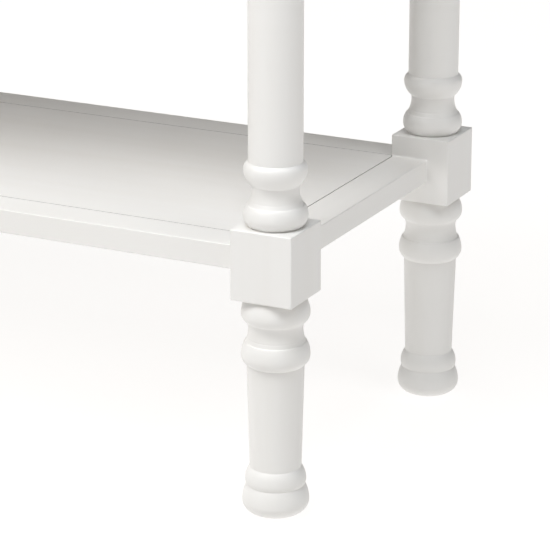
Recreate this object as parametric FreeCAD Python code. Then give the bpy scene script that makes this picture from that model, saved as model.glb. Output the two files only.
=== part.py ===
import FreeCAD, Part
import math
import os

# Console table: four turned legs, a plain top on aprons, and a framed lower shelf.
# Millimetres, +Z up, +X along the table, and the front faces -Y.
# The origin is on the floor under the middle of the table.

Vector = FreeCAD.Vector
ORIGIN = Vector(0, 0, 0)
UP = Vector(0, 0, 1)

# ---- driving dimensions -------------------------------------------------
TABLE_LENGTH = 1219.0
TABLE_DEPTH = 406.0
TABLE_HEIGHT = 762.0

TOP_THICKNESS = 22.0
TOP_OVERHANG = 12.0
TOP_ROUND = 3.0

LEG_SQUARE = 57.0
FOOT_HEIGHT = 194.0
LOWER_BLOCK_HEIGHT = 62.0
UPPER_BLOCK_HEIGHT = 110.0
BLOCK_ROUND = 1.2
LEG_CHAMFER = 8.0
GLIDE_HEIGHT = 2.0

APRON_HEIGHT = 95.0
APRON_THICKNESS = 20.0
APRON_INSET = 9.0

SHELF_THICKNESS = 21.5
SHELF_RAIL_WIDTH = 34.0
SHELF_INSET_X = 21.5
SHELF_INSET_Y = 20.0
SHELF_ABOVE_BLOCK_FOOT = 41.5
RAIL_ROUND = 1.0
SEAM_ROUND = 0.3

PANEL_THICKNESS = 12.0
PANEL_GAP = 0.6
TONGUE_THICKNESS = 4.0
TONGUE_LENGTH = 6.0
TONGUE_BELOW_FACE = 4.0
GROOVE_PLAY = 0.2

# ---- levels and places worked out from them -----------------------------
BLOCK_FOOT_Z = GLIDE_HEIGHT + FOOT_HEIGHT
BLOCK_HEAD_Z = BLOCK_FOOT_Z + LOWER_BLOCK_HEIGHT
LEG_TOP_Z = TABLE_HEIGHT - TOP_THICKNESS
UPPER_BLOCK_Z = LEG_TOP_Z - UPPER_BLOCK_HEIGHT
APRON_FOOT_Z = LEG_TOP_Z - APRON_HEIGHT
SHELF_TOP_Z = BLOCK_FOOT_Z + SHELF_ABOVE_BLOCK_FOOT
SHELF_FOOT_Z = SHELF_TOP_Z - SHELF_THICKNESS

LEG_OUT_X = TABLE_LENGTH / 2 - TOP_OVERHANG
LEG_OUT_Y = TABLE_DEPTH / 2 - TOP_OVERHANG
LEG_X = LEG_OUT_X - LEG_SQUARE / 2
LEG_Y = LEG_OUT_Y - LEG_SQUARE / 2
LEG_IN_X = LEG_OUT_X - LEG_SQUARE
LEG_IN_Y = LEG_OUT_Y - LEG_SQUARE

SHELF_OUT_X = LEG_OUT_X - SHELF_INSET_X
SHELF_OUT_Y = LEG_OUT_Y - SHELF_INSET_Y
SHELF_IN_X = SHELF_OUT_X - SHELF_RAIL_WIDTH
SHELF_IN_Y = SHELF_OUT_Y - SHELF_RAIL_WIDTH

APRON_OUT_X = LEG_OUT_X - APRON_INSET
APRON_OUT_Y = LEG_OUT_Y - APRON_INSET
APRON_IN_X = APRON_OUT_X - APRON_THICKNESS
APRON_IN_Y = APRON_OUT_Y - APRON_THICKNESS

# ---- turned outlines ----------------------------------------------------
# Each station is (radius, distance down from the outline's start, kind). A swell is
# a belly or a neck: the curve runs upright there and is an arc to the stations
# beside it. An edge is a sharp line, and two edges are joined by a straight run.
EDGE, SWELL = "edge", "swell"

# The foot, down from the lower block: two beads with a neck between them,
# a tapering shaft, a ring and a ball.
FOOT_OUTLINE = [
    (23.9, 0.0, EDGE),
    (29.3, 13.9, SWELL),
    (25.8, 21.5, EDGE),
    (24.9, 21.9, EDGE),
    (23.3, 27.9, SWELL),
    (25.5, 39.4, EDGE),
    (26.6, 39.8, EDGE),
    (29.4, 51.2, SWELL),
    (24.5, 60.0, EDGE),
    (22.1, 152.2, EDGE),
    (26.2, 163.8, SWELL),
    (25.0, 168.4, EDGE),
    (28.8, 182.4, SWELL),
    (17.4, FOOT_HEIGHT, EDGE),
]

# The collar above the lower block, down from the shaft to the block. The same
# collar stands upside down under the upper block.
COLLAR_OUTLINE = [
    (22.9, 0.0, EDGE),
    (23.5, 0.4, EDGE),
    (26.8, 6.4, SWELL),
    (20.6, 19.7, EDGE),
    (20.1, 20.0, EDGE),
    (19.8, 23.9, SWELL),
    (23.4, 36.7, EDGE),
    (24.3, 37.1, EDGE),
    (27.3, 46.0, SWELL),
    (22.8, 55.2, EDGE),
]
COLLAR_HEIGHT = COLLAR_OUTLINE[-1][1]
TURNING_RUN_IN = 4.0

# ---- joinery and hardware -----------------------------------------------
DOWEL_R = 3.0
DOWEL_LENGTH = 30.0
SHELF_DOWEL_FROM_OUTSIDE = 6.0
SHELF_JOINT_Z = SHELF_FOOT_Z + 8.0
APRON_DOWEL_FROM_EDGE = 17.0

CAM_R = 7.5
CAM_HEIGHT = 12.5
CAM_FROM_END = 24.0
CAM_POCKET_R = 3.7
CAM_BORE_R = 3.5
BOLT_THREAD_R = 2.9
BOLT_DEPTH = 11.0
BOLT_SHANK_R = 3.2
BOLT_NECK_R = 1.9
BOLT_HEAD_R = 3.3
BOLT_HEAD_HEIGHT = 2.4

BRACKET_THICKNESS = 2.0
BRACKET_HEIGHT = 50.0
BRACKET_FLANGE = 25.0
BRACKET_FROM_LEG_AXIS = 42.0
BRACKET_Z = (APRON_FOOT_Z + LEG_TOP_Z) / 2 - 6.0
BRACKET_SCREW_SPACING = 26.0

HANGER_R = 3.9
HANGER_HOLE_R = 4.3
HANGER_IN_LEG = 26.0
HANGER_PAST_PLATE = 14.0
WASHER_R = 9.0
WASHER_THICKNESS = 1.6
NUT_ACROSS_FLATS = 13.0
NUT_HEIGHT = 6.5

SCREW_R = 1.9
SCREW_HEAD_R = 3.8
SCREW_HEAD_HEIGHT = 2.4
SCREW_TIP = 4.0

CLEAT_SIDE = 18.0
LONG_CLEAT_HALF = 470.0
SHORT_CLEAT_HALF = 68.0
CROSS_RAIL_THICKNESS = 22.0
CROSS_RAIL_HEIGHT = 60.0

BATTEN_WIDTH = 60.0
BATTEN_XS = (-240.0, 240.0)

GLIDE_R = 9.0
GLIDE_PIN_R = 1.6
GLIDE_PIN_LENGTH = 14.0


def box(x0, x1, y0, y1, z0, z1):
    """A block between two values on each axis."""
    return Part.makeBox(x1 - x0, y1 - y0, z1 - z0, Vector(x0, y0, z0))


def rod(radius, start, way, length):
    """A round bar from a point along a direction."""
    return Part.makeCylinder(radius, length, start, way)


def fused(shapes):
    """One solid from several that overlap or meet."""
    return shapes[0].fuse(shapes[1:]).removeSplitter()


def placed(shape, point, way):
    """A shape built upright at the origin, moved to a point with its +Z along a direction."""
    moved = shape.copy()
    moved.Placement = FreeCAD.Placement(point, FreeCAD.Rotation(UP, way))
    return moved


def long_edges(bar, axis):
    """The four edges of a square bar that run along X or Y (axis 0 or 1)."""
    ends = [(edge.Vertexes[0].Point, edge.Vertexes[-1].Point, edge) for edge in bar.Edges]
    return [edge for first, last, edge in ends if abs(first[axis] - last[axis]) > 0.01]


def mirrored_x(shape):
    return shape.mirror(ORIGIN, Vector(1, 0, 0))


def mirrored_y(shape):
    return shape.mirror(ORIGIN, Vector(0, 1, 0))


def four_corners(shape):
    """A shape made for the front right corner, at all four corners by name."""
    left = mirrored_x(shape)
    return {
        "front_right": shape,
        "front_left": left,
        "back_right": mirrored_y(shape),
        "back_left": mirrored_y(left),
    }


def at_all_corners(shapes):
    """Copies of several shapes at all four corners, as one list."""
    return [copy for shape in shapes for copy in four_corners(shape).values()]


def front_and_back(shape):
    return {"front": shape, "back": mirrored_y(shape)}


def right_and_left(shape):
    return {"right": shape, "left": mirrored_x(shape)}


# ---- turning ------------------------------------------------------------
def swell_arc(edge_point, swell_point):
    """The arc from a sharp line to a belly or neck, upright at the belly or neck."""
    rise = swell_point.x - edge_point.x
    run = edge_point.z - swell_point.z
    radius = (rise * rise + run * run) / (2 * rise)
    centre_r = swell_point.x - radius
    half_turn = math.atan2(run, (edge_point.x - centre_r) * math.copysign(1, radius)) / 2
    middle = Vector(
        centre_r + radius * math.cos(half_turn),
        0,
        swell_point.z + abs(radius) * math.sin(half_turn),
    )
    return Part.Arc(edge_point, middle, swell_point).toShape()


def turned_solid(stations):
    """The solid of revolution about Z through stations of (radius, height, kind)."""
    points = [Vector(radius, 0, height) for radius, height, kind in stations]
    kinds = [kind for radius, height, kind in stations]
    foot = Vector(0, 0, points[0].z)
    head = Vector(0, 0, points[-1].z)
    edges = [Part.LineSegment(head, foot).toShape()]
    edges.append(Part.LineSegment(foot, points[0]).toShape())
    for here, there, kind, next_kind in zip(points, points[1:], kinds, kinds[1:]):
        if next_kind == SWELL:
            edges.append(swell_arc(here, there))
        elif kind == SWELL:
            edges.append(swell_arc(there, here))
        else:
            edges.append(Part.LineSegment(here, there).toShape())
    edges.append(Part.LineSegment(points[-1], head).toShape())
    outline = Part.Face(Part.Wire(Part.__sortEdges__(edges)))
    return outline.revolve(ORIGIN, UP, 360)


def stations_below(outline, start_z):
    """An outline that hangs down from start_z, listed from its foot upwards."""
    return [(radius, start_z - depth, kind) for radius, depth, kind in reversed(outline)]


def stations_above(outline, start_z):
    """An outline that stands upside down on start_z, listed upwards."""
    return [(radius, start_z + depth, kind) for radius, depth, kind in outline]


def turned_foot():
    stations = stations_below(FOOT_OUTLINE, BLOCK_FOOT_Z)
    run_in = (FOOT_OUTLINE[0][0], BLOCK_FOOT_Z + TURNING_RUN_IN, EDGE)
    return turned_solid(stations + [run_in])


def turned_column():
    """The collar, shaft and upside-down collar between the two blocks."""
    lower = stations_below(COLLAR_OUTLINE, BLOCK_HEAD_Z + COLLAR_HEIGHT)
    upper = stations_above(COLLAR_OUTLINE, UPPER_BLOCK_Z - COLLAR_HEIGHT)
    end_r = COLLAR_OUTLINE[-1][0]
    foot = (end_r, BLOCK_HEAD_Z - TURNING_RUN_IN, EDGE)
    head = (end_r, UPPER_BLOCK_Z + TURNING_RUN_IN, EDGE)
    return turned_solid([foot] + lower + upper + [head])


def leg_block(z0, z1):
    """A square block on the leg's own axis, every edge lightly rounded."""
    half = LEG_SQUARE / 2
    block = box(-half, half, -half, half, z0, z1)
    return block.makeFillet(BLOCK_ROUND, block.Edges)


def inner_corner_cut():
    """What the 45 degree flat takes off the upper block's inner corner."""
    corner = Vector(LEG_IN_X, -LEG_IN_Y, UPPER_BLOCK_Z - 1)
    reach = LEG_CHAMFER + 1
    around = [Vector(-1, 1, 0), Vector(reach, 1, 0), Vector(-1, -reach, 0), Vector(-1, 1, 0)]
    triangle = Part.Face(Part.makePolygon([corner + step for step in around]))
    return triangle.extrude(UP * (UPPER_BLOCK_HEIGHT + 2))


def front_right_leg(inserts):
    """One leg in its place, bored for the dowels, bolts and glide that go into it."""
    half_leg = [turned_foot(), turned_column()]
    blocks = [leg_block(BLOCK_FOOT_Z, BLOCK_HEAD_Z), leg_block(UPPER_BLOCK_Z, LEG_TOP_Z)]
    leg = fused(blocks + half_leg)
    leg.translate(Vector(LEG_X, -LEG_Y, 0))
    return leg.cut([inner_corner_cut()] + inserts)


# ---- joints at the front right leg ---------------------------------------
def shelf_rail_ends():
    """The middle of each shelf rail's end at this leg, and the way into the leg."""
    front_y = -(SHELF_OUT_Y - SHELF_RAIL_WIDTH / 2)
    side_x = SHELF_OUT_X - SHELF_RAIL_WIDTH / 2
    return {
        "front": (Vector(LEG_IN_X, front_y, SHELF_JOINT_Z), Vector(1, 0, 0)),
        "side": (Vector(side_x, -LEG_IN_Y, SHELF_JOINT_Z), Vector(0, -1, 0)),
    }


def dowel(middle, way):
    """A dowel centred on a joint's face."""
    return rod(DOWEL_R, middle - way * (DOWEL_LENGTH / 2), way, DOWEL_LENGTH)


def shelf_dowel(side):
    """The dowel near the outer face of one shelf rail's end."""
    end, way = shelf_rail_ends()[side]
    outward = Vector(0, -1, 0) if side == "front" else Vector(1, 0, 0)
    return dowel(end + outward * (SHELF_RAIL_WIDTH / 2 - SHELF_DOWEL_FROM_OUTSIDE), way)


def apron_dowels(side):
    """The two dowels in one apron's end."""
    heights = (APRON_FOOT_Z + APRON_DOWEL_FROM_EDGE, LEG_TOP_Z - APRON_DOWEL_FROM_EDGE)
    if side == "front":
        y = -(APRON_OUT_Y - APRON_THICKNESS / 2)
        return [dowel(Vector(LEG_IN_X, y, z), Vector(1, 0, 0)) for z in heights]
    x = APRON_OUT_X - APRON_THICKNESS / 2
    return [dowel(Vector(x, -LEG_IN_Y, z), Vector(0, -1, 0)) for z in heights]


def cam_bolt(side):
    """The bolt that a cam pulls on: threaded into the leg, then shank, neck and head."""
    end, way = shelf_rail_ends()[side]
    back = way * -1
    head_start = end + back * (CAM_FROM_END - BOLT_HEAD_HEIGHT / 2)
    return fused(
        [
            rod(BOLT_THREAD_R, end, way, BOLT_DEPTH),
            rod(BOLT_SHANK_R, end, back, CAM_FROM_END - CAM_R - 1),
            rod(BOLT_NECK_R, end, back, CAM_FROM_END),
            rod(BOLT_HEAD_R, head_start, back, BOLT_HEAD_HEIGHT),
        ]
    )


def cam_drum(side):
    """The plain drum of a cam, which is also its bore in the rail."""
    end, way = shelf_rail_ends()[side]
    centre = end - way * CAM_FROM_END
    return rod(CAM_R, Vector(centre.x, centre.y, SHELF_FOOT_Z), UP, CAM_HEIGHT)


def cam(side):
    """A cam nut: a drum with a pocket for the bolt's head and a cross recess below."""
    end, way = shelf_rail_ends()[side]
    centre = end - way * CAM_FROM_END
    pocket = rod(CAM_POCKET_R, centre - way * 2, way, CAM_R + 3)
    recess = cross_recess(4.5, 0.7, 2.0)
    recess.translate(Vector(centre.x, centre.y, SHELF_FOOT_Z))
    return cam_drum(side).cut([pocket, recess])


def cross_recess(reach, half_width, depth):
    """A cross-shaped recess that opens downwards at the origin."""
    along_x = box(-reach, reach, -half_width, half_width, -1, depth)
    along_y = box(-half_width, half_width, -reach, reach, -1, depth)
    return fused([along_x, along_y])


def shelf_rail_cuts(side):
    """Bores in one shelf rail's end: the dowel, the cam and its bolt."""
    end, way = shelf_rail_ends()[side]
    return [shelf_dowel(side), cam_drum(side), rod(CAM_BORE_R, end, way * -1, CAM_FROM_END)]


# ---- corner brackets and their bolts --------------------------------------
INWARD = Vector(-1, 1, 0).normalize()


def on_diagonal(distance):
    """A point on the line from the front right leg's axis towards the table's middle."""
    return Vector(LEG_X, -LEG_Y, BRACKET_Z) + INWARD * distance


def bracket_reach():
    """From the legs' outer faces to where a bracket's plate meets an apron."""
    inset = APRON_INSET + APRON_THICKNESS
    return LEG_SQUARE + BRACKET_FROM_LEG_AXIS * math.sqrt(2) - inset


def corner_bracket(screws):
    """A bent steel plate across the corner, flanged along both aprons."""
    near = APRON_INSET + APRON_THICKNESS
    far = bracket_reach()
    tip = far + BRACKET_FLANGE
    inner = near + BRACKET_THICKNESS
    bend = far + BRACKET_THICKNESS * (math.sqrt(2) - 1)
    inward_steps = [
        (far, near),
        (tip, near),
        (tip, inner),
        (bend, inner),
        (inner, bend),
        (inner, tip),
        (near, tip),
        (near, far),
        (far, near),
    ]
    foot_z = BRACKET_Z - BRACKET_HEIGHT / 2
    outline = [Vector(LEG_OUT_X - u, v - LEG_OUT_Y, foot_z) for u, v in inward_steps]
    plate = Part.Face(Part.makePolygon(outline)).extrude(UP * BRACKET_HEIGHT)
    bolt_hole = rod(HANGER_HOLE_R, on_diagonal(BRACKET_FROM_LEG_AXIS - 5), INWARD, 12)
    return plate.cut([bolt_hole] + screws)


def bracket_screws(side):
    """The screws through one bracket's flange into the front or the side apron."""
    inner = APRON_INSET + APRON_THICKNESS + BRACKET_THICKNESS
    along = bracket_reach() + BRACKET_FLANGE * 0.6
    heights = [BRACKET_Z + step * BRACKET_SCREW_SPACING / 2 for step in (-1, 1)]
    if side == "front":
        way = Vector(0, -1, 0)
        seats = [Vector(LEG_OUT_X - along, inner - LEG_OUT_Y, z) for z in heights]
    else:
        way = Vector(1, 0, 0)
        seats = [Vector(LEG_OUT_X - inner, along - LEG_OUT_Y, z) for z in heights]
    return [screw(seat, way, 16.0) for seat in seats]


def hanger_bolt():
    """A stud screwed into the leg's inner corner, its other end through the bracket."""
    flat = (LEG_SQUARE - LEG_CHAMFER) / math.sqrt(2)
    start = flat - HANGER_IN_LEG
    end = BRACKET_FROM_LEG_AXIS + BRACKET_THICKNESS + HANGER_PAST_PLATE
    stud = rod(HANGER_R, on_diagonal(start), INWARD, end - start)
    return stud.makeChamfer(1.0, [e for e in stud.Edges if len(e.Vertexes) == 1])


def bracket_washer():
    start = on_diagonal(BRACKET_FROM_LEG_AXIS + BRACKET_THICKNESS)
    ring = rod(WASHER_R, start, INWARD, WASHER_THICKNESS)
    return ring.cut(rod(HANGER_HOLE_R, start - INWARD, INWARD, WASHER_THICKNESS + 2))


def bracket_nut():
    """A hexagon nut on the stud, its outer corners turned off."""
    corner_r = NUT_ACROSS_FLATS / math.sqrt(3)
    hexagon = [
        Vector(corner_r * math.cos(math.radians(a)), corner_r * math.sin(math.radians(a)), 0)
        for a in range(0, 361, 60)
    ]
    prism = Part.Face(Part.makePolygon(hexagon)).extrude(UP * NUT_HEIGHT)
    turned_off = Part.makeCone(corner_r + NUT_HEIGHT, NUT_ACROSS_FLATS / 2, NUT_HEIGHT)
    bore = rod(HANGER_R, Vector(0, 0, -1), UP, NUT_HEIGHT + 2)
    nut = prism.common(turned_off).cut(bore)
    seat = BRACKET_FROM_LEG_AXIS + BRACKET_THICKNESS + WASHER_THICKNESS
    return placed(nut, on_diagonal(seat), INWARD)


def screw(seat, way, length):
    """A pan-head wood screw with a cross recess, its head's underside on the seat."""
    head = rod(SCREW_HEAD_R, Vector(0, 0, -SCREW_HEAD_HEIGHT), UP, SCREW_HEAD_HEIGHT)
    rim = [e for e in head.Edges if e.BoundBox.ZMax < -SCREW_HEAD_HEIGHT / 2]
    head = head.makeFillet(SCREW_HEAD_HEIGHT / 2, rim)
    shank = rod(SCREW_R, ORIGIN, UP, length - SCREW_TIP)
    tip = Part.makeCone(SCREW_R, 0.3, SCREW_TIP, Vector(0, 0, length - SCREW_TIP))
    recess = cross_recess(2.0, 0.45, 1.2)
    recess.translate(Vector(0, 0, -SCREW_HEAD_HEIGHT))
    return placed(fused([head, shank, tip]).cut(recess), seat, way)


# ---- aprons, cleats and top ------------------------------------------------
def softened_bar(x0, x1, y0, y1, z0, z1, axis, radius):
    """A bar whose long edges, along X or Y (axis 0 or 1), are rounded."""
    bar = box(x0, x1, y0, y1, z0, z1)
    return bar.makeFillet(radius, long_edges(bar, axis))


def front_apron(inserts):
    apron = softened_bar(
        -LEG_IN_X, LEG_IN_X, -APRON_OUT_Y, -APRON_IN_Y, APRON_FOOT_Z, LEG_TOP_Z, 0, RAIL_ROUND
    )
    return apron.cut(inserts)


def right_apron(inserts):
    apron = softened_bar(
        APRON_IN_X, APRON_OUT_X, -LEG_IN_Y, LEG_IN_Y, APRON_FOOT_Z, LEG_TOP_Z, 1, RAIL_ROUND
    )
    return apron.cut(inserts)


def front_cleat(screws):
    """The strip inside the front apron that the top is screwed to."""
    y0, z0 = -APRON_IN_Y, LEG_TOP_Z - CLEAT_SIDE
    return box(-LONG_CLEAT_HALF, LONG_CLEAT_HALF, y0, y0 + CLEAT_SIDE, z0, LEG_TOP_Z).cut(screws)


def right_cleat(screws):
    x1, z0 = APRON_IN_X, LEG_TOP_Z - CLEAT_SIDE
    return box(x1 - CLEAT_SIDE, x1, -SHORT_CLEAT_HALF, SHORT_CLEAT_HALF, z0, LEG_TOP_Z).cut(screws)


def front_cleat_screws():
    """Screws up through the front cleat into the top, and through it into the apron."""
    middle_y = -APRON_IN_Y + CLEAT_SIDE / 2
    up = [
        screw(Vector(x, middle_y, LEG_TOP_Z - CLEAT_SIDE), UP, 32.0)
        for x in (-400, -140, 140, 400)
    ]
    across = [
        screw(Vector(x, -APRON_IN_Y + CLEAT_SIDE, LEG_TOP_Z - CLEAT_SIDE / 2), Vector(0, -1, 0), 32.0)
        for x in (-440, -270, -60, 60, 270, 440)
    ]
    return up, across


def right_cleat_screws():
    middle_x = APRON_IN_X - CLEAT_SIDE / 2
    up = [screw(Vector(middle_x, 0, LEG_TOP_Z - CLEAT_SIDE), UP, 32.0)]
    across = [
        screw(Vector(APRON_IN_X - CLEAT_SIDE, y, LEG_TOP_Z - CLEAT_SIDE / 2), Vector(1, 0, 0), 32.0)
        for y in (-45, 45)
    ]
    return up, across


def cross_rail(cleats):
    """The rail across the middle, from apron to apron, notched under the cleats."""
    half = CROSS_RAIL_THICKNESS / 2
    z0 = LEG_TOP_Z - CROSS_RAIL_HEIGHT
    return box(-half, half, -APRON_IN_Y, APRON_IN_Y, z0, LEG_TOP_Z).cut(cleats)


def top_board(screws):
    x, y = TABLE_LENGTH / 2, TABLE_DEPTH / 2
    board = box(-x, x, -y, y, LEG_TOP_Z, TABLE_HEIGHT)
    return board.makeFillet(TOP_ROUND, board.Edges).cut(screws)


# ---- shelf ------------------------------------------------------------------
def rail_bar(x0, x1, y0, y1, axis, outer):
    """A shelf rail: outer long edges rounded, the edges along the seam only eased."""
    across = 1 - axis
    bar = box(x0, x1, y0, y1, SHELF_FOOT_Z, SHELF_TOP_Z)
    outer_edges = [e for e in long_edges(bar, axis) if abs(e.CenterOfMass[across] - outer) < 0.01]
    bar = bar.makeFillet(RAIL_ROUND, outer_edges)
    middle = (y0 + y1) / 2 if axis == 0 else (x0 + x1) / 2
    seam_edges = [
        edge
        for edge in long_edges(bar, axis)
        if (edge.CenterOfMass[across] - middle) * (outer - middle) < -SHELF_RAIL_WIDTH
    ]
    return bar.makeFillet(SEAM_ROUND, seam_edges)


def groove(x0, x1, y0, y1):
    """The groove in a rail for the panel's tongue."""
    z1 = SHELF_TOP_Z - TONGUE_BELOW_FACE + GROOVE_PLAY
    z0 = SHELF_TOP_Z - TONGUE_BELOW_FACE - TONGUE_THICKNESS - GROOVE_PLAY
    return box(x0, x1, y0, y1, z0, z1)


def shelf_front_rail():
    rail = rail_bar(-LEG_IN_X, LEG_IN_X, -SHELF_OUT_Y, -SHELF_IN_Y, 0, -SHELF_OUT_Y)
    groove_depth_y = -SHELF_IN_Y - TONGUE_LENGTH - 1
    cuts = shelf_rail_cuts("front")
    cuts += [mirrored_x(cut) for cut in cuts]
    cuts.append(groove(-LEG_IN_X - 1, LEG_IN_X + 1, groove_depth_y, -SHELF_IN_Y + 1))
    return rail.cut(cuts)


def shelf_right_rail():
    rail = rail_bar(SHELF_IN_X, SHELF_OUT_X, -LEG_IN_Y, LEG_IN_Y, 1, SHELF_OUT_X)
    groove_depth_x = SHELF_IN_X + TONGUE_LENGTH + 1
    cuts = shelf_rail_cuts("side")
    cuts += [mirrored_y(cut) for cut in cuts]
    cuts.append(groove(SHELF_IN_X - 1, groove_depth_x, -LEG_IN_Y - 1, LEG_IN_Y + 1))
    return rail.cut(cuts)


def shelf_panel(screws):
    """The flush panel: tongues all round, its corners notched round the leg blocks."""
    x, y = SHELF_IN_X - PANEL_GAP, SHELF_IN_Y - PANEL_GAP
    body = box(-x, x, -y, y, SHELF_TOP_Z - PANEL_THICKNESS, SHELF_TOP_Z)
    face_edges = [e for e in body.Edges if e.BoundBox.ZMin > SHELF_TOP_Z - 0.01]
    body = body.makeFillet(SEAM_ROUND, face_edges)
    tongue_z1 = SHELF_TOP_Z - TONGUE_BELOW_FACE
    tongue = box(
        -x - TONGUE_LENGTH,
        x + TONGUE_LENGTH,
        -y - TONGUE_LENGTH,
        y + TONGUE_LENGTH,
        tongue_z1 - TONGUE_THICKNESS,
        tongue_z1,
    )
    notch = box(
        LEG_IN_X - PANEL_GAP,
        LEG_OUT_X,
        -LEG_OUT_Y,
        -LEG_IN_Y + PANEL_GAP,
        SHELF_FOOT_Z,
        SHELF_TOP_Z + 1,
    )
    return fused([body, tongue]).cut(list(four_corners(notch).values()) + screws)


def shelf_batten(x, screws):
    """A flat stiffener under the panel, level with the underside of the rails."""
    half, y = BATTEN_WIDTH / 2, SHELF_IN_Y - PANEL_GAP
    under_panel_z = SHELF_TOP_Z - PANEL_THICKNESS
    bar = softened_bar(x - half, x + half, -y, y, SHELF_FOOT_Z, under_panel_z, 1, RAIL_ROUND)
    return bar.cut(screws)


def batten_screws(x):
    """Screws up through a batten into the panel."""
    return [
        screw(Vector(x + across, along, SHELF_FOOT_Z), UP, 18.0)
        for across in (-15, 15)
        for along in (-105, 0, 105)
    ]


def glide():
    """A nail-on glide under the foot: a domed disc and its pin."""
    disc = rod(GLIDE_R, Vector(LEG_X, -LEG_Y, 0), UP, GLIDE_HEIGHT)
    rim = [e for e in disc.Edges if e.BoundBox.ZMax < 0.01]
    disc = disc.makeFillet(GLIDE_HEIGHT / 2, rim)
    pin_foot = Vector(LEG_X, -LEG_Y, GLIDE_HEIGHT / 2)
    return fused([disc, rod(GLIDE_PIN_R, pin_foot, UP, GLIDE_HEIGHT / 2 + GLIDE_PIN_LENGTH)])


# ---- assembly ---------------------------------------------------------------
def save(name, shape):
    shape.exportStep("parts/" + name + ".step")


def save_each(pattern, shapes_by_place):
    """Write one file per place, its name made from the pattern."""
    for place, shape in shapes_by_place.items():
        save(pattern.format(place), shape)


def save_group(name, shapes):
    save(name, Part.makeCompound(shapes))


def make_legs_and_joints():
    shelf_dowels = [shelf_dowel("front"), shelf_dowel("side")]
    top_dowels = apron_dowels("front") + apron_dowels("side")
    bolts = [cam_bolt("front"), cam_bolt("side")]
    inserts = shelf_dowels + top_dowels + bolts + [hanger_bolt(), glide()]
    save_each("leg_{}", four_corners(front_right_leg(inserts)))
    save_each("glide_{}", four_corners(glide()))
    save_group("shelf_dowels", at_all_corners(shelf_dowels))
    save_group("apron_dowels", at_all_corners(top_dowels))
    save_group("cam_bolts", at_all_corners(bolts))
    save_group("cam_nuts", at_all_corners([cam("front"), cam("side")]))


def make_brackets():
    screws = bracket_screws("front") + bracket_screws("side")
    save_each("corner_bracket_{}", four_corners(corner_bracket(screws)))
    save_group("bracket_screws", at_all_corners(screws))
    save_group("hanger_bolts", at_all_corners([hanger_bolt()]))
    save_group("bracket_washers", at_all_corners([bracket_washer()]))
    save_group("bracket_nuts", at_all_corners([bracket_nut()]))


def make_top():
    front_up, front_across = front_cleat_screws()
    right_up, right_across = right_cleat_screws()
    front_inserts = apron_dowels("front") + bracket_screws("front")
    front_inserts += [mirrored_x(insert) for insert in front_inserts]
    side_inserts = apron_dowels("side") + bracket_screws("side")
    side_inserts += [mirrored_y(insert) for insert in side_inserts]
    save_each("apron_{}", front_and_back(front_apron(front_inserts + front_across)))
    save_each("apron_{}", right_and_left(right_apron(side_inserts + right_across)))

    long_cleats = front_and_back(front_cleat(front_up + front_across))
    save_each("top_cleat_{}", long_cleats)
    save_each("top_cleat_{}", right_and_left(right_cleat(right_up + right_across)))
    save("cross_rail", cross_rail(list(long_cleats.values())))

    up = [copy for one in front_up for copy in front_and_back(one).values()]
    up += [copy for one in right_up for copy in right_and_left(one).values()]
    across = [copy for one in front_across for copy in front_and_back(one).values()]
    across += [copy for one in right_across for copy in right_and_left(one).values()]
    save("top_board", top_board(up))
    save_group("top_screws", up)
    save_group("cleat_screws", across)


def make_shelf():
    save_each("shelf_rail_{}", front_and_back(shelf_front_rail()))
    save_each("shelf_rail_{}", right_and_left(shelf_right_rail()))
    screws_by_batten = {x: batten_screws(x) for x in BATTEN_XS}
    for place, x in zip(("left", "right"), BATTEN_XS):
        save("shelf_batten_" + place, shelf_batten(x, screws_by_batten[x]))
    screws = [one for group in screws_by_batten.values() for one in group]
    save("shelf_panel", shelf_panel(screws))
    save_group("batten_screws", screws)


os.makedirs("parts", exist_ok=True)
make_legs_and_joints()
make_brackets()
make_top()
make_shelf()
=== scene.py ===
import math

import bpy
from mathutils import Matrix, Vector, noise


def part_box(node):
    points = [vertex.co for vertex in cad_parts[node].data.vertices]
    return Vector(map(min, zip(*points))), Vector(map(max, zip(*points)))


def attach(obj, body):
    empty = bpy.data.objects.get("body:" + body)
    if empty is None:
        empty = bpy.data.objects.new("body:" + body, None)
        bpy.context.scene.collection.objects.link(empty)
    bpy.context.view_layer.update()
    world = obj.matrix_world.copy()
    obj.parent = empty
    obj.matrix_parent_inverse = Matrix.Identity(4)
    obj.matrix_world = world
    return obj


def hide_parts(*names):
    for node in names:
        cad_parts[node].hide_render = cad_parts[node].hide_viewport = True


# Looks of the white console table: four lathe-turned legs, painted rails, aprons,
# shelf and top, and the bare wood and hardware underneath. Metres, in the row frame.

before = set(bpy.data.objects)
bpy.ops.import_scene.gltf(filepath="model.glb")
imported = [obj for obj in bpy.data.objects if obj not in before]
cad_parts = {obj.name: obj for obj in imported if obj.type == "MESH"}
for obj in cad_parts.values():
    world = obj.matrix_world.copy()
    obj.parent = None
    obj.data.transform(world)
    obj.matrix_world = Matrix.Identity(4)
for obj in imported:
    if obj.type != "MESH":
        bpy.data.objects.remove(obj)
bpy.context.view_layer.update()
MM = 0.001

# ---- the leg's own dimensions, in millimetres --------------------------------
LEG_SQUARE = 57.0
FOOT_HEIGHT = 194.0
LOWER_BLOCK_HEIGHT = 62.0
UPPER_BLOCK_HEIGHT = 110.0
BLOCK_ROUND = 1.2
LEG_CHAMFER = 8.0
SHOULDER_FLAT_R = 26.0

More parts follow.
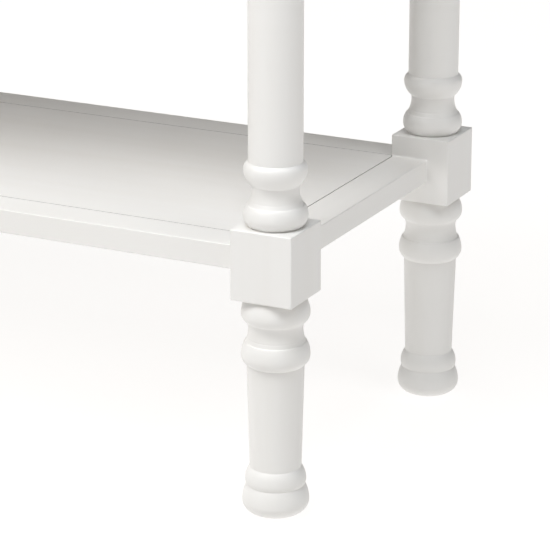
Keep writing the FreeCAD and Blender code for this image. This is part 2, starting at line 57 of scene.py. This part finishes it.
# (radius, distance down, kind): a swell is a belly or a neck, where the curve runs
# upright, and an edge is a sharp line.
EDGE, SWELL = "edge", "swell"
FOOT_OUTLINE = [
    (23.9, 0.0, EDGE),
    (29.3, 13.9, SWELL),
    (25.8, 21.5, EDGE),
    (24.9, 21.9, EDGE),
    (23.3, 27.9, SWELL),
    (25.5, 39.4, EDGE),
    (26.6, 39.8, EDGE),
    (29.4, 51.2, SWELL),
    (24.5, 60.0, EDGE),
    (22.1, 152.2, EDGE),
    (26.2, 163.8, SWELL),
    (25.0, 168.4, EDGE),
    (28.8, 182.4, SWELL),
    (17.4, FOOT_HEIGHT, EDGE),
]
COLLAR_OUTLINE = [
    (22.9, 0.0, EDGE),
    (23.5, 0.4, EDGE),
    (26.8, 6.4, SWELL),
    (20.6, 19.7, EDGE),
    (20.1, 20.0, EDGE),
    (19.8, 23.9, SWELL),
    (23.4, 36.7, EDGE),
    (24.3, 37.1, EDGE),
    (27.3, 46.0, SWELL),
    (22.8, 55.2, EDGE),
]
COLLAR_HEIGHT = COLLAR_OUTLINE[-1][1]

ARC_STEP = 1.5
EDGE_SOFTENING = 0.35
QUARTER_SIDE_STEPS = 9
QUARTER_CORNER_STEPS = 6
RING_POINTS = 4 * (2 * QUARTER_SIDE_STEPS + QUARTER_CORNER_STEPS)
ROUND_STEPS = 4
LEAST_ROUND = 0.02

ROUND, SQUARE = "round", "square"

# Fine lines scored by the lathe on each flare, as depths down its outline.
FOOT_SCORES = [35.9]
COLLAR_SCORES = [33.2]
SCORE_DEPTH = 0.22
SCORE_HALF_WIDTH = 0.5
SCORE_CLEARANCE = 0.1

# Filler worked into the corner where a rail meets a leg, then painted over.
RAIL_ROUND = 1.0
BEAD_SIZE = 1.7
BEAD_WANDER = 0.35
BEAD_WANDER_SCALE = 0.13
BEAD_BITE = 0.15
BEAD_SECTION_STEPS = 4
BEAD_CORNER_STEPS = 3
BEAD_RUN_STEPS = 10
BEAD_SHARP_DEGREES = 50.0


# ---- small helpers -------------------------------------------------------------
def new_piece(name, points, faces, material):
    """A smooth-shaded mesh piece that rides on the table's one body."""
    mesh = bpy.data.meshes.new(name)
    mesh.from_pydata(points, [], faces)
    mesh.validate()
    mesh.shade_smooth()
    piece = bpy.data.objects.new(name, mesh)
    bpy.context.scene.collection.objects.link(piece)
    mesh.materials.append(material)
    weighted = piece.modifiers.new("weighted_normals", "WEIGHTED_NORMAL")
    weighted.keep_sharp = True
    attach(piece, "root")
    return piece


def runs_along_y(node):
    low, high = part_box(node)
    return high.y - low.y > high.x - low.x


# ---- procedural materials --------------------------------------------------------
class Finish:
    """A material's node tree, with short calls for the nodes that finishes share."""

    def __init__(self, name, **fixed):
        self.material = bpy.data.materials.new(name)
        self.material.use_nodes = True
        self.tree = self.material.node_tree
        self.shader = self.tree.nodes["Principled BSDF"]
        self.where = self.tree.nodes.new("ShaderNodeTexCoord").outputs["Object"]
        for socket, value in fixed.items():
            self.shader.inputs[socket.replace("_", " ")].default_value = value

    def link(self, source, target):
        self.tree.links.new(source, target)

    def stretched(self, scale):
        """Object coordinates scaled by different amounts along X, Y and Z."""
        node = self.tree.nodes.new("ShaderNodeMapping")
        node.inputs["Scale"].default_value = scale
        self.link(self.where, node.inputs["Vector"])
        return node.outputs["Vector"]

    def noise(self, vector, scale, detail=2.0, rough=0.5, distortion=0.0):
        node = self.tree.nodes.new("ShaderNodeTexNoise")
        node.inputs["Scale"].default_value = scale
        node.inputs["Detail"].default_value = detail
        node.inputs["Roughness"].default_value = rough
        node.inputs["Distortion"].default_value = distortion
        self.link(vector, node.inputs["Vector"])
        return node.outputs["Fac"]

    def math(self, operation, a, b):
        node = self.tree.nodes.new("ShaderNodeMath")
        node.operation = operation
        for socket, value in zip(node.inputs, (a, b)):
            if isinstance(value, (int, float)):
                socket.default_value = value
            else:
                self.link(value, socket)
        return node.outputs["Value"]

    def spread(self, source, low, high, to_low=0.0, to_high=1.0):
        node = self.tree.nodes.new("ShaderNodeMapRange")
        for name, value in zip(
            ("From Min", "From Max", "To Min", "To Max"), (low, high, to_low, to_high)
        ):
            node.inputs[name].default_value = value
        self.link(source, node.inputs["Value"])
        return node.outputs["Result"]

    def blend(self, share, first, second):
        """A colour between two, which are colours or other nodes' outputs."""
        node = self.tree.nodes.new("ShaderNodeMix")
        node.data_type = "RGBA"
        self.link(share, node.inputs[0])
        for socket, value in ((node.inputs[6], first), (node.inputs[7], second)):
            if isinstance(value, tuple):
                socket.default_value = (*value, 1.0)
            else:
                self.link(value, socket)
        return node.outputs[2]

    def part_of(self, vector, axis):
        node = self.tree.nodes.new("ShaderNodeSeparateXYZ")
        self.link(vector, node.inputs["Vector"])
        return node.outputs[axis.upper()]

    def attribute(self, name):
        node = self.tree.nodes.new("ShaderNodeAttribute")
        node.attribute_name = name
        return node.outputs["Fac"]

    def colour(self, source):
        self.link(source, self.shader.inputs["Base Color"])

    def roughness(self, source):
        self.link(source, self.shader.inputs["Roughness"])

    def relief(self, height_mm):
        """Bumps of a height given in millimetres."""
        bump = self.tree.nodes.new("ShaderNodeBump")
        bump.inputs["Strength"].default_value = 1.0
        bump.inputs["Distance"].default_value = MM
        self.link(height_mm, bump.inputs["Height"])
        self.link(bump.outputs["Normal"], self.shader.inputs["Normal"])


ALONG = {"x": 0, "y": 1, "z": 2}
PAINT = (0.830, 0.822, 0.803)
PAINT_THIN = (0.805, 0.793, 0.765)
# Painted shade: a near-black colour put on the walls of the seam round the shelf panel, darkening the
# gap as shade would.
SEAM_SHADE = (0.070, 0.058, 0.046)
SEAM_REACH = 2.0
SHADE_STARTS = 0.02
SHADE_IS_FULL = 0.22
SHADE_ENDS = 4.6

# Noise scales are per metre, and relief heights are in millimetres.
FIBRES_ACROSS, FIBRES_ALONG, FIBRE_RELIEF = 260.0, 7.0, 0.025
BROAD_ACROSS, BROAD_ALONG = 46.0, 2.5
CLOUD_SCALE = 5.0
PEEL_SCALE, PEEL_RELIEF = 620.0, 0.010
LATHE_RING_SCALE, LATHE_RING_RELIEF = 900.0, 0.020


def painted_shade_in_seams(finish):
    """How much painted shade a spot gets: full a little way down the seam round the shelf panel, where
    shade falls into the gap.
    """
    seam_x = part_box("shelf_rail_right")[0].x
    seam_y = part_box("shelf_rail_back")[0].y
    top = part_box("shelf_panel")[1].z
    distances = []
    for axis, seam in (("x", seam_x), ("y", seam_y)):
        from_middle = finish.math("ABSOLUTE", finish.part_of(finish.where, axis), 0.0)
        distances.append(finish.math("ABSOLUTE", finish.math("SUBTRACT", from_middle, seam), 0.0))
    nearest = finish.math("MINIMUM", *distances)
    beside = finish.math("LESS_THAN", nearest, SEAM_REACH * MM)
    height = finish.part_of(finish.where, "z")
    depth = finish.spread(height, top - SHADE_IS_FULL * MM, top - SHADE_STARTS * MM, 1.0, 0.0)
    above_tongue = finish.math("GREATER_THAN", height, top - SHADE_ENDS * MM)
    return finish.math("MULTIPLY", finish.math("MULTIPLY", beside, depth), above_tongue)


def painted_wood(name, grain, turned=False, painted_seam_shade=False):
    """Satin white paint on wood: the grain telegraphs through faintly along one axis."""
    finish = Finish(name, IOR=1.5)
    scale = [FIBRES_ACROSS] * 3
    scale[ALONG[grain]] = FIBRES_ALONG
    fibres = finish.noise(finish.stretched(scale), 1.0, detail=3.0, rough=0.6)
    broad_scale = [BROAD_ACROSS] * 3
    broad_scale[ALONG[grain]] = BROAD_ALONG
    broad = finish.noise(finish.stretched(broad_scale), 1.0, detail=2.0)
    clouds = finish.noise(finish.where, CLOUD_SCALE, detail=3.0)
    peel = finish.noise(finish.where, PEEL_SCALE, detail=1.0)
    thin = finish.math("MULTIPLY", finish.spread(broad, 0.42, 0.72), 0.55)
    thin = finish.math("ADD", thin, finish.spread(clouds, 0.4, 0.7, 0.0, 0.3))
    paint = finish.blend(thin, PAINT, PAINT_THIN)
    # Painted shade down the seam round the shelf panel.
    if painted_seam_shade:
        paint = finish.blend(painted_shade_in_seams(finish), paint, SEAM_SHADE)
    finish.colour(paint)
    gloss = finish.math("ADD", finish.spread(clouds, 0.3, 0.7, 0.36, 0.44),
                        finish.spread(peel, 0.3, 0.7, -0.03, 0.03))
    finish.roughness(gloss)
    height = finish.math("ADD", finish.math("MULTIPLY", fibres, FIBRE_RELIEF),
                         finish.math("MULTIPLY", peel, PEEL_RELIEF))
    if turned:
        rings = finish.noise(finish.stretched((0.0, 0.0, LATHE_RING_SCALE)), 1.0, detail=2.0)
        rings = finish.math("MULTIPLY", rings, LATHE_RING_RELIEF)
        rings = finish.math("MULTIPLY", rings, finish.attribute("turned"))
        height = finish.math("ADD", height, rings)
    finish.relief(height)
    return finish.material


def bare_pine(name, grain):
    """Planed pine: pale wood with darker growth lines along the grain."""
    finish = Finish(name, IOR=1.5)
    scale = [150.0, 150.0, 150.0]
    scale[ALONG[grain]] = 3.0
    lines = finish.noise(finish.stretched(scale), 1.0, detail=3.0, distortion=0.6)
    pore_scale = [900.0, 900.0, 900.0]
    pore_scale[ALONG[grain]] = 40.0
    pores = finish.noise(finish.stretched(pore_scale), 1.0, detail=2.0)
    lines = finish.spread(lines, 0.38, 0.66)
    wood = finish.blend(lines, (0.70, 0.52, 0.32), (0.52, 0.34, 0.18))
    finish.colour(finish.blend(finish.spread(pores, 0.55, 0.75, 0.0, 0.5), wood, (0.42, 0.27, 0.15)))
    finish.roughness(finish.spread(lines, 0.0, 1.0, 0.62, 0.52))
    finish.relief(finish.math("MULTIPLY", finish.math("ADD", lines, pores), -0.03))
    return finish.material


def zinc_plate(name):
    """Bright zinc plating: metal with a faint spangle and a slightly uneven sheen."""
    finish = Finish(name, Metallic=1.0)
    spangle = finish.noise(finish.where, 260.0, detail=4.0, distortion=1.0)
    scuffs = finish.noise(finish.stretched((1500.0, 200.0, 1500.0)), 1.0, detail=2.0)
    tint = finish.spread(spangle, 0.35, 0.65)
    finish.colour(finish.blend(tint, (0.60, 0.61, 0.63), (0.70, 0.69, 0.64)))
    finish.roughness(finish.math("ADD", finish.spread(spangle, 0.3, 0.7, 0.24, 0.36),
                                 finish.spread(scuffs, 0.4, 0.7, 0.0, 0.08)))
    finish.relief(finish.math("MULTIPLY", scuffs, 0.006))
    return finish.material


def zinc_casting(name):
    """A die-cast skin, greyer and grainier than plate."""
    finish = Finish(name, Metallic=1.0)
    grit = finish.noise(finish.where, 1400.0, detail=3.0)
    finish.colour(finish.blend(finish.spread(grit, 0.35, 0.65), (0.44, 0.44, 0.45), (0.56, 0.56, 0.56)))
    finish.roughness(finish.spread(grit, 0.3, 0.7, 0.42, 0.56))
    finish.relief(finish.math("MULTIPLY", grit, 0.02))
    return finish.material


def nylon(name):
    """A moulded nylon foot pad, slightly scuffed."""
    finish = Finish(name, IOR=1.53)
    scuffs = finish.noise(finish.where, 500.0, detail=4.0)
    finish.colour(finish.blend(finish.spread(scuffs, 0.4, 0.7), (0.66, 0.64, 0.58), (0.52, 0.50, 0.45)))
    finish.roughness(finish.spread(scuffs, 0.3, 0.7, 0.40, 0.60))
    finish.relief(finish.math("MULTIPLY", scuffs, 0.02))
    return finish.material


# ---- turned legs ---------------------------------------------------------------------
def arc_points(edge, swell):
    """Points from a sharp line to a belly or neck, on an arc that is upright at the swell."""
    rise = swell[0] - edge[0]
    run = edge[1] - swell[1]
    radius = (rise * rise + run * run) / (2 * rise)
    centre_r = swell[0] - radius
    turn = math.atan2(run, (edge[0] - centre_r) * math.copysign(1, radius))
    steps = max(4, math.ceil(abs(radius * turn) / ARC_STEP))
    angles = [turn * (1 - step / steps) for step in range(steps + 1)]
    return [
        (centre_r + radius * math.cos(angle), swell[1] + abs(radius) * math.sin(angle))
        for angle in angles
    ]


def toward(start, end, distance):
    """A point on the way from start to end, at most 45% of the way."""
    length = math.dist(start, end)
    share = min(distance / length, 0.45)
    return tuple(a + (b - a) * share for a, b in zip(start, end))


def turned_profile(stations):
    """(radius, height) points up a turning, every sharp line softened as paint does."""
    runs = []
    for here, there in zip(stations, stations[1:]):
        if there[2] == SWELL:
            runs.append(arc_points(here, there))
        elif here[2] == SWELL:
            runs.append(arc_points(there, here)[::-1])
        else:
            runs.append([here[:2], there[:2]])
    profile = [runs[0][0]]
    for run, following, station in zip(runs, runs[1:], stations[1:]):
        profile += run[1:-1]
        corner = run[-1]
        if station[2] == SWELL:
            profile.append(corner)
            continue
        before = toward(corner, run[-2], EDGE_SOFTENING)
        after = toward(corner, following[1], EDGE_SOFTENING)
        middle = tuple((a + 2 * c + b) / 4 for a, c, b in zip(before, corner, after))
        profile += [before, middle, after]
    return profile + runs[-1][1:]


def scored(profile, heights):
    """The profile with a fine V line cut at each of some heights."""
    result = list(profile)
    for height in heights:
        for index, (here, there) in enumerate(zip(result, result[1:])):
            if here[1] <= height < there[1]:
                break
        cut = []
        for offset, depth in ((-1, 0), (0, SCORE_DEPTH), (1, 0)):
            z = height + offset * SCORE_HALF_WIDTH
            share = (z - here[1]) / (there[1] - here[1])
            cut.append((here[0] + (there[0] - here[0]) * share - depth, z))
        kept_below = [point for point in result[: index + 1] if point[1] < cut[0][1] - SCORE_CLEARANCE]
        kept_above = [point for point in result[index + 1 :] if point[1] > cut[-1][1] + SCORE_CLEARANCE]
        result = kept_below + cut + kept_above
    return result


def block_rings(z0, z1, chamfered):
    """(shape, half width, height, chamfered) up a square block with rounded ends."""
    rings = []
    for step in range(ROUND_STEPS + 1):
        angle = math.pi / 2 * step / ROUND_STEPS
        inset = BLOCK_ROUND * (1 - math.sin(angle))
        rise = BLOCK_ROUND * (1 - math.cos(angle))
        rings.append((SQUARE, LEG_SQUARE / 2 - inset, z0 + rise, chamfered))
    mirrored = [(shape, half, z0 + z1 - z, flat) for shape, half, z, flat in reversed(rings)]
    return rings + mirrored


def leg_rings(foot_z, head_z):
    """Every ring of a leg from its foot to its head, heights in millimetres."""
    block_foot = foot_z + FOOT_HEIGHT
    block_head = block_foot + LOWER_BLOCK_HEIGHT
    upper_foot = head_z - UPPER_BLOCK_HEIGHT
    foot = [(r, block_foot - down, kind) for r, down, kind in reversed(FOOT_OUTLINE)]
    foot.append((SHOULDER_FLAT_R, block_foot, EDGE))
    collar = [(r, block_head + COLLAR_HEIGHT - down, kind) for r, down, kind in reversed(COLLAR_OUTLINE)]
    crown = [(r, upper_foot - COLLAR_HEIGHT + down, kind) for r, down, kind in COLLAR_OUTLINE]
    column = [(SHOULDER_FLAT_R, block_head, EDGE), *collar, *crown]
    column.append((SHOULDER_FLAT_R, upper_foot, EDGE))
    foot_scores = [block_foot - down for down in FOOT_SCORES]
    collar_scores = [block_head + COLLAR_HEIGHT - down for down in COLLAR_SCORES]
    collar_scores += [upper_foot - COLLAR_HEIGHT + down for down in COLLAR_SCORES]
    rings = [(ROUND, r, z, False) for r, z in scored(turned_profile(foot), foot_scores)]
    rings += block_rings(block_foot, block_head, False)
    rings += [(ROUND, r, z, False) for r, z in scored(turned_profile(column), collar_scores)]
    rings += block_rings(upper_foot, head_z, True)
    return rings


def quarter_corner(half, flat):
    """Points round the corner between the +X and +Y sides of a square ring."""
    if flat:
        reach = LEG_CHAMFER - 2 * (LEG_SQUARE / 2 - half)
        shares = [step / QUARTER_CORNER_STEPS for step in range(QUARTER_CORNER_STEPS + 1)]
        return [(half - reach * share, half - reach * (1 - share)) for share in shares]
    radius = max(BLOCK_ROUND - (LEG_SQUARE / 2 - half), LEAST_ROUND)
    centre = half - radius
    angles = [math.pi / 2 * step / QUARTER_CORNER_STEPS for step in range(QUARTER_CORNER_STEPS + 1)]
    return [(centre + radius * math.cos(a), centre + radius * math.sin(a)) for a in angles]


def square_ring(half, flat_quarter):
    """A square ring's points, anticlockwise from the middle of its +X side."""
    points = []
    for quarter in range(4):
        corner = quarter_corner(half, quarter == flat_quarter)
        start, end = corner[0][1], corner[-1][0]
        side = [(half, start * step / QUARTER_SIDE_STEPS) for step in range(QUARTER_SIDE_STEPS)]
        steps = range(1, QUARTER_SIDE_STEPS)
        far_side = [(end * (1 - step / QUARTER_SIDE_STEPS), half) for step in steps]
        turn = math.pi / 2 * quarter
        cosine, sine = round(math.cos(turn)), round(math.sin(turn))
        for x, y in side + corner + far_side:
            points.append((x * cosine - y * sine, x * sine + y * cosine))
    return points


def round_ring(radius):
    angles = [2 * math.pi * step / RING_POINTS for step in range(RING_POINTS)]
    return [(radius * math.cos(a), radius * math.sin(a)) for a in angles]


def inner_quarter(x, y):
    """Which quarter of a leg faces the table's middle, anticlockwise from +X +Y."""
    return {(-1, -1): 0, (1, -1): 1, (1, 1): 2, (-1, 1): 3}[(math.copysign(1, x), math.copysign(1, y))]


def turned_leg(node, material):
    """One leg as a single continuous skin, in its CAD node's place."""
    low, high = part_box(node)
    centre = (low + high) / 2
    rings = leg_rings(low.z / MM, high.z / MM)
    inner = inner_quarter(centre.x, centre.y)
    points, turned = [], []
    for shape, size, z, chamfered in rings:
        outline = round_ring(size) if shape == ROUND else square_ring(size, inner if chamfered else None)
        points += [(centre.x + x * MM, centre.y + y * MM, z * MM) for x, y in outline]
        turned += [1.0 if shape == ROUND else 0.0] * RING_POINTS
    faces = []
    for ring in range(len(rings) - 1):
        for step in range(RING_POINTS):
            a = ring * RING_POINTS + step
            b = ring * RING_POINTS + (step + 1) % RING_POINTS
            faces.append((a, b, b + RING_POINTS, a + RING_POINTS))
    last = (len(rings) - 1) * RING_POINTS
    foot_point, head_point = len(points), len(points) + 1
    points += [(centre.x, centre.y, low.z), (centre.x, centre.y, high.z)]
    turned += [1.0, 0.0]
    for step in range(RING_POINTS):
        following = (step + 1) % RING_POINTS
        faces.append((foot_point, following, step))
        faces.append((head_point, last + step, last + following))
    leg = new_piece("turned_" + node, points, faces, material)
    attribute = leg.data.attributes.new("turned", "FLOAT", "POINT")
    attribute.data.foreach_set("value", turned)
    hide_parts(node)
    return leg


# ---- painted-over filler in the corners between rails and legs ---------------------------
def around_rail_end(across_in, across_out, z0, z1, from_top):
    """(across, height, outward across, outward up) round a rail's outer side, in millimetres."""
    side = math.copysign(1, across_out - across_in)
    corner = across_out - side * RAIL_ROUND
    steps = [step / BEAD_CORNER_STEPS for step in range(BEAD_CORNER_STEPS + 1)]
    angles = [math.pi / 2 * step for step in steps]
    runs = [step / BEAD_RUN_STEPS for step in range(BEAD_RUN_STEPS)]
    path = []
    if from_top:
        path += [(across_in + (corner - across_in) * run, z1, 0.0, 1.0) for run in runs]
        for angle in angles:
            out, up = math.sin(angle), math.cos(angle)
            height = z1 - RAIL_ROUND * (1 - up)
            path.append((corner + side * RAIL_ROUND * out, height, side * out, up))
    straight = z1 - z0 - (2 if from_top else 1) * RAIL_ROUND
    start = z1 - RAIL_ROUND if from_top else z1
    path += [(across_out, start - straight * run, side, 0.0) for run in runs[1:]]
    for angle in angles:
        out, down = math.cos(angle), math.sin(angle)
        height = z0 + RAIL_ROUND * (1 - down)
        path.append((corner + side * RAIL_ROUND * out, height, side * out, -down))
    path += [(corner + (across_in - corner) * run, z0, 0.0, -1.0) for run in runs[1:]]
    return path + [(across_in, z0, 0.0, -1.0)]


def bead_section(size):
    """A hollow bead: (out from the rail, back from the leg), and its hidden corner last."""
    angles = [math.pi / 2 * step / BEAD_SECTION_STEPS for step in range(BEAD_SECTION_STEPS + 1)]
    arc = [(size * (1 - math.sin(a)), size * (1 - math.cos(a))) for a in angles]
    return arc + [(-BEAD_BITE, -BEAD_BITE)]


def rail_end_bead(node, end_sign, from_top, points, faces):
    """Adds the bead round one end of a rail to a mesh's points and faces."""
    low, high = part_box(node)
    along = 1 if runs_along_y(node) else 0
    across = 1 - along
    end = (high[along] if end_sign > 0 else low[along]) / MM
    inner, outer = sorted((low[across] / MM, high[across] / MM), key=abs)
    path = around_rail_end(inner, outer, low.z / MM, high.z / MM, from_top)
    start = len(points)
    for across_at, height, out_across, out_up in path:
        wander = noise.noise(Vector((across_at, height, end)) * BEAD_WANDER_SCALE)
        section = bead_section(BEAD_SIZE * (1 + BEAD_WANDER * wander))
        for out, back in section:
            point = [0.0, 0.0, (height + out_up * out) * MM]
            point[along] = (end - end_sign * back) * MM
            point[across] = (across_at + out_across * out) * MM
            points.append(tuple(point))
    width = BEAD_SECTION_STEPS + 2
    flip = end_sign * math.copysign(1, outer) * (1 if along == 0 else -1) < 0
    rows = [range(start + row * width, start + (row + 1) * width) for row in range(len(path))]
    made = [tuple(reversed(rows[0])), tuple(rows[-1])]
    for row, above in zip(rows, rows[1:]):
        for step in range(width):
            nearer = (step + 1) % width
            made.append((row[step], row[nearer], above[nearer], above[step]))
    faces += [tuple(reversed(face)) for face in made] if flip else made


def joint_beads(name, nodes, from_top, material):
    points, faces = [], []
    for node in nodes:
        for end_sign in (-1, 1):
            rail_end_bead(node, end_sign, from_top, points, faces)
    beads = new_piece(name, points, faces, material)
    beads.data.set_sharp_from_angle(angle=math.radians(BEAD_SHARP_DEGREES))
    return beads


# ---- finishes on the nodes -------------------------------------------------------------
paint_x = painted_wood("painted_wood_along_x", "x")
paint_y = painted_wood("painted_wood_along_y", "y")
# The shelf's finishes carry painted shade down the seam round its panel.
shelf_paint_x = painted_wood("painted_shelf_along_x", "x", painted_seam_shade=True)
shelf_paint_y = painted_wood("painted_shelf_along_y", "y", painted_seam_shade=True)
paint_leg = painted_wood("painted_turned_leg", "z", turned=True)
pine_x = bare_pine("bare_pine_along_x", "x")
pine_y = bare_pine("bare_pine_along_y", "y")
finishes = {
    "zinc_plated_steel": zinc_plate("zinc_plated_steel_finish"),
    "zinc_casting": zinc_casting("zinc_casting_finish"),
    "glide_plastic": nylon("glide_plastic_finish"),
}


for name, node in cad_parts.items():
    if name.startswith("leg_"):
        turned_leg(name, paint_leg)
        continue
    slot = node.data.materials[0].name
    if name.startswith(("shelf_rail", "shelf_panel")):
        finish = shelf_paint_y if runs_along_y(name) else shelf_paint_x
    elif slot == "painted_wood":
        finish = paint_y if runs_along_y(name) else paint_x
    elif slot == "bare_pine":
        finish = pine_y if runs_along_y(name) else pine_x
    else:
        finish = finishes[slot]
    for index in range(len(node.data.materials)):
        node.data.materials[index] = finish


SIDES = ("front", "back", "left", "right")
joint_beads("shelf_joint_beads", ["shelf_rail_" + side for side in SIDES], True, paint_x)
joint_beads("apron_joint_beads", ["apron_" + side for side in SIDES], False, paint_x)


# ---- floor, light and camera --------------------------------------------------------------
FLOOR_HALF = 40.0
FLOOR_PAINT = 0.18
FLOOR_GLOW = 0.90
BACKDROP_GLOW = 0.93
BACKDROP_FILL = 0.0
WHITE_GLOW = (1.0, 0.985, 0.97)
LOOK_AT = Vector((0.25, 0.0, 0.38))
LIGHT_DISTANCE = 6.0
LIGHT_SIZE = 2.4
NEUTRAL = (1.0, 1.0, 1.0)
COOL = (0.9, 0.95, 1.0)
WARM = (1.0, 0.96, 0.92)
LIGHTS = [
    # name, azimuth from the front towards the right, elevation, watts, colour
    ("overhead", 15.0, 70.0, 150.0, COOL),
    ("key_front_left", -45.0, 50.0, 135.0, WARM),
    ("front", -15.0, 50.0, 80.0, NEUTRAL),
    ("front_low", -15.0, 30.0, 25.0, NEUTRAL),
    ("right", 75.0, 50.0, 75.0, NEUTRAL),
    ("right_low", 75.0, 10.0, 25.0, WARM),
    ("back_left", -150.0, 20.0, 20.0, NEUTRAL),
]


def around(azimuth, elevation):
    """The direction at an azimuth from the front, towards the right, and an elevation."""
    a, e = math.radians(azimuth), math.radians(elevation)
    return Vector((math.sin(a) * math.cos(e), -math.cos(a) * math.cos(e), math.sin(e)))


def soft_light(name, azimuth, elevation, watts, colour):
    light = bpy.data.lights.new(name, "AREA")
    light.shape = "SQUARE"
    light.size = LIGHT_SIZE
    light.energy = watts
    light.color = colour
    lamp = bpy.data.objects.new(name, light)
    direction = around(azimuth, elevation)
    lamp.location = LOOK_AT + direction * LIGHT_DISTANCE
    lamp.rotation_euler = direction.to_track_quat("Z", "Y").to_euler()
    lamp.visible_camera = False
    bpy.context.scene.collection.objects.link(lamp)
    return lamp


def studio_floor():
    half = FLOOR_HALF
    corners = [(-half, -half, 0), (half, -half, 0), (half, half, 0), (-half, half, 0)]
    mesh = bpy.data.meshes.new("studio_floor")
    mesh.from_pydata(corners, [], [(0, 1, 2, 3)])
    floor = bpy.data.objects.new("studio_floor", mesh)
    bpy.context.scene.collection.objects.link(floor)
    finish = Finish("studio_floor", Roughness=1.0, Specular_IOR_Level=0.0)
    finish.shader.inputs["Base Color"].default_value = (FLOOR_PAINT, FLOOR_PAINT, FLOOR_PAINT, 1.0)
    finish.shader.inputs["Emission Color"].default_value = (*WHITE_GLOW, 1.0)
    finish.shader.inputs["Emission Strength"].default_value = FLOOR_GLOW
    mesh.materials.append(finish.material)
    return floor


def studio_world(backdrop, fill, colour):
    """The room behind the table: pale to look at, and giving as much light as fill says."""
    world = bpy.data.worlds.new("studio_world")
    world.use_nodes = True
    tree = world.node_tree
    background = tree.nodes["Background"]
    background.inputs["Color"].default_value = (*colour, 1.0)
    seen = tree.nodes.new("ShaderNodeLightPath").outputs["Is Camera Ray"]
    strength = tree.nodes.new("ShaderNodeMapRange")
    strength.inputs["To Min"].default_value = fill
    strength.inputs["To Max"].default_value = backdrop
    tree.links.new(seen, strength.inputs["Value"])
    tree.links.new(strength.outputs["Result"], background.inputs["Strength"])
    bpy.context.scene.world = world


studio_floor()
studio_world(BACKDROP_GLOW, BACKDROP_FILL, WHITE_GLOW)
for light in LIGHTS:
    soft_light(*light)

# The camera stands in front of the right leg, from its shelf block's lower outer corner.
CAMERA_FROM_BLOCK_CORNER = Vector((0.9600, -1.9519, 0.7564))
CAMERA_YAW = math.radians(26.54)
CAMERA_PITCH = math.radians(18.45)
LENS_MM = 183.273
SENSOR_MM = 36.0
CLIP_END = 100.0

leg_low, leg_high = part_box("leg_front_right")
leg_centre = (leg_low + leg_high) / 2
half_block = LEG_SQUARE / 2 * MM
block_corner = Vector((
    leg_centre.x + half_block,
    leg_centre.y - half_block,
    leg_low.z + FOOT_HEIGHT * MM,
))
camera_data = bpy.data.cameras.new("camera")
camera_data.lens = LENS_MM
camera_data.sensor_width = SENSOR_MM
camera_data.clip_end = CLIP_END
camera = bpy.data.objects.new("camera", camera_data)
camera.location = block_corner + CAMERA_FROM_BLOCK_CORNER
camera.rotation_euler = (math.pi / 2 - CAMERA_PITCH, 0.0, CAMERA_YAW)
bpy.context.scene.collection.objects.link(camera)
bpy.context.scene.camera = camera
bpy.context.scene.view_settings.view_transform = "Standard"
